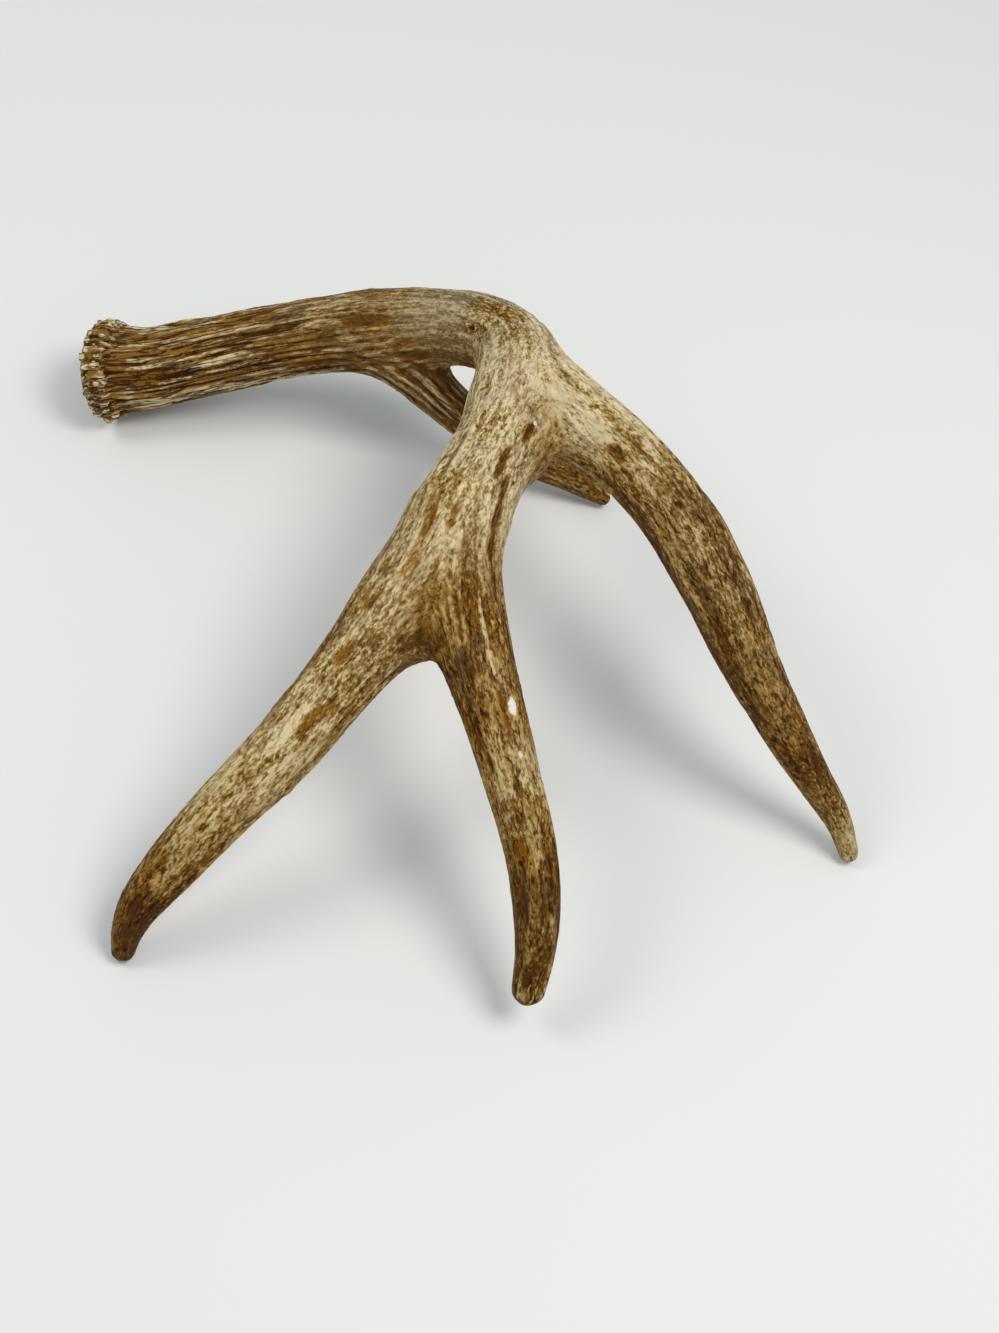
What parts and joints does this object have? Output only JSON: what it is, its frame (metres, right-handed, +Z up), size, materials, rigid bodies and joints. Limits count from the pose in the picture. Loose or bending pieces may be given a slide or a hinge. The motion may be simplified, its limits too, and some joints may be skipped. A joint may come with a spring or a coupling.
{
  "type": "deer antler",
  "caption": "Shed deer antler lying on its burr and tine tips: a curved, ridged main beam with a knobbly burr and pointed, forking tines.",
  "frame": {"origin": "middle of the floor under the antler, as it lies on its burr and tine tips", "axes": "+X from the burr towards the second tine's side, -Y towards the tips of the third tine and the beam, +Z up"},
  "size_m": [0.2563, 0.2784, 0.0973],
  "materials": {
    "ridged_bone": "natural antler bone near the burr: brown grooves between pale worn ridges, dull",
    "beam_bone": "natural antler bone, cream and tan with brown flecks along the grain, satin",
    "tine_bone": "natural antler bone, tan to olive brown, rubbed smooth and slightly glossy at the tips"
  },
  "bodies": {
    "root": {"beam_lower": "ridged_bone", "tine_first": "tine_bone", "beam_middle": "beam_bone", "tine_second": "tine_bone", "beam_upper": "beam_bone", "tine_third": "tine_bone", "beam_tip": "beam_bone"}
  },
  "joints": []
}
